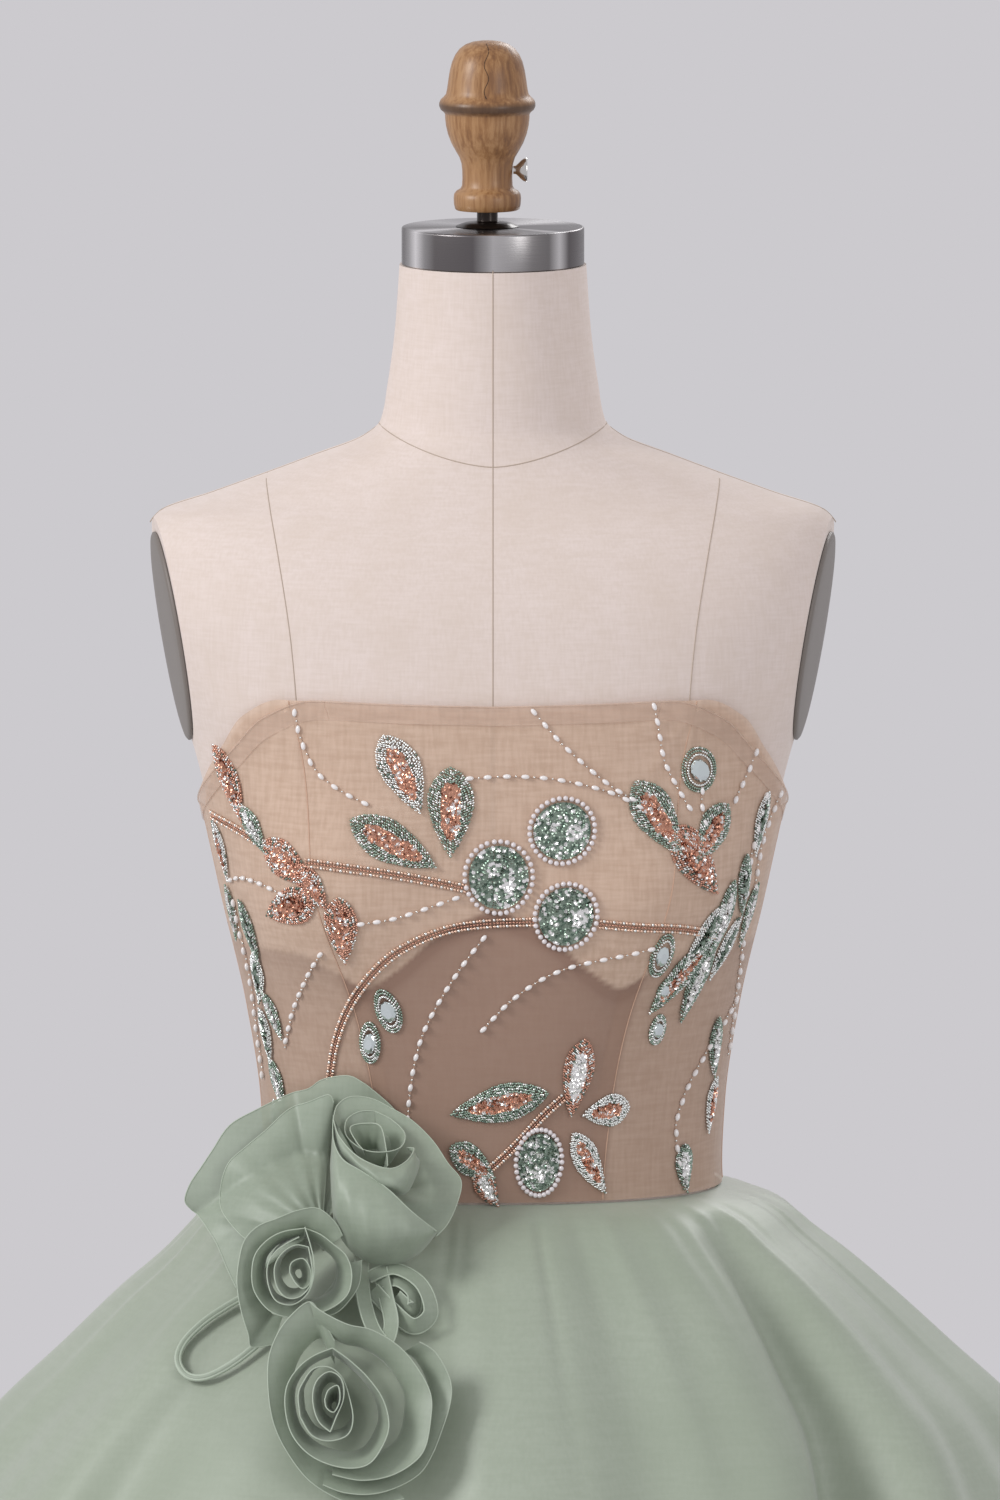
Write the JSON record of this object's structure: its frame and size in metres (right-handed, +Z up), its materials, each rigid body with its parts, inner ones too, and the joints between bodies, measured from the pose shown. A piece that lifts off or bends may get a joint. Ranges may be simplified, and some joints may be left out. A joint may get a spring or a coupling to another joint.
{
  "type": "homecoming dress on a limbless dress form with a stand",
  "caption": "Strapless short dress with a sheer boned bodice, padded leaf and disc beadwork, a full organza skirt and rolled organza roses, worn on a limbless dress form on a round base",
  "frame": {"origin": "under the middle of the stand's base, on the floor", "axes": "+Z up; the dress faces -Y; +X is to the right of someone who looks at its front"},
  "size_m": [0.8725, 0.7242, 1.655],
  "materials": {
    "linen": "natural linen stretched over the form, matt plain weave",
    "plate_grey": "grey moulded armhole plate, satin",
    "steel": "brushed stainless steel",
    "dark_iron": "dark oxidised iron",
    "wood": "turned, stained and worn wood with a dark ring",
    "nickel": "bright nickel plate",
    "enamel": "grey satin enamel",
    "tulle": "sheer nude tulle with sequin, bead and gem embroidery",
    "cup_lining": "nude moulded cup lining",
    "boning": "nude boning channel tape",
    "organza": "sage green organza with a soft sheen",
    "zip_tape": "nude woven zip tape with nylon coil",
    "zip_metal": "plain metal slider and pull, pale gold"
  },
  "bodies": {
    "dress_and_form": {"form_torso": "linen", "arm_plate_right": "plate_grey", "arm_plate_left": "plate_grey", "neck_cap": "steel", "finial_stem": "dark_iron", "neck_finial": "wood", "stand_base": "enamel", "stand_pole": "steel", "bodice_front_centre": "tulle", "bodice_front_left": "tulle", "bodice_front_right": "tulle", "bodice_side_back_left": "tulle", "bodice_side_back_right": "tulle", "bodice_back_left": "tulle", "bodice_back_right": "tulle", "cup_left": "cup_lining", "cup_right": "cup_lining", "boning_left": "boning", "boning_right": "boning", "skirt_front": "organza", "skirt_back_right": "organza", "skirt_back_left": "organza", "zip_strip": "zip_tape", "zip_slider": "zip_metal", "rose_top": "organza", "rose_middle": "organza", "rose_lower": "organza", "petal_outer": "organza", "petal_inner": "organza", "ribbon_loop_outer": "organza", "ribbon_loop_inner": "organza", "cord_loop": "organza"},
    "screw": {"thumb_screw": "nickel"},
    "pull": {"zip_pull": "zip_metal"}
  },
  "joints": [
    {"name": "thumb_screw_turn", "type": "hinge", "parent": "dress_and_form", "child": "screw", "pos_m": [0.0109, 0.008, 1.5855], "axis": [1, 0, 0], "continuous": true},
    {"name": "zip_pull_flip", "type": "hinge", "parent": "dress_and_form", "child": "pull", "pos_m": [0, 0.1043, 1.2239], "axis": [1, 0, 0], "range_deg": [0, 150]}
  ]
}
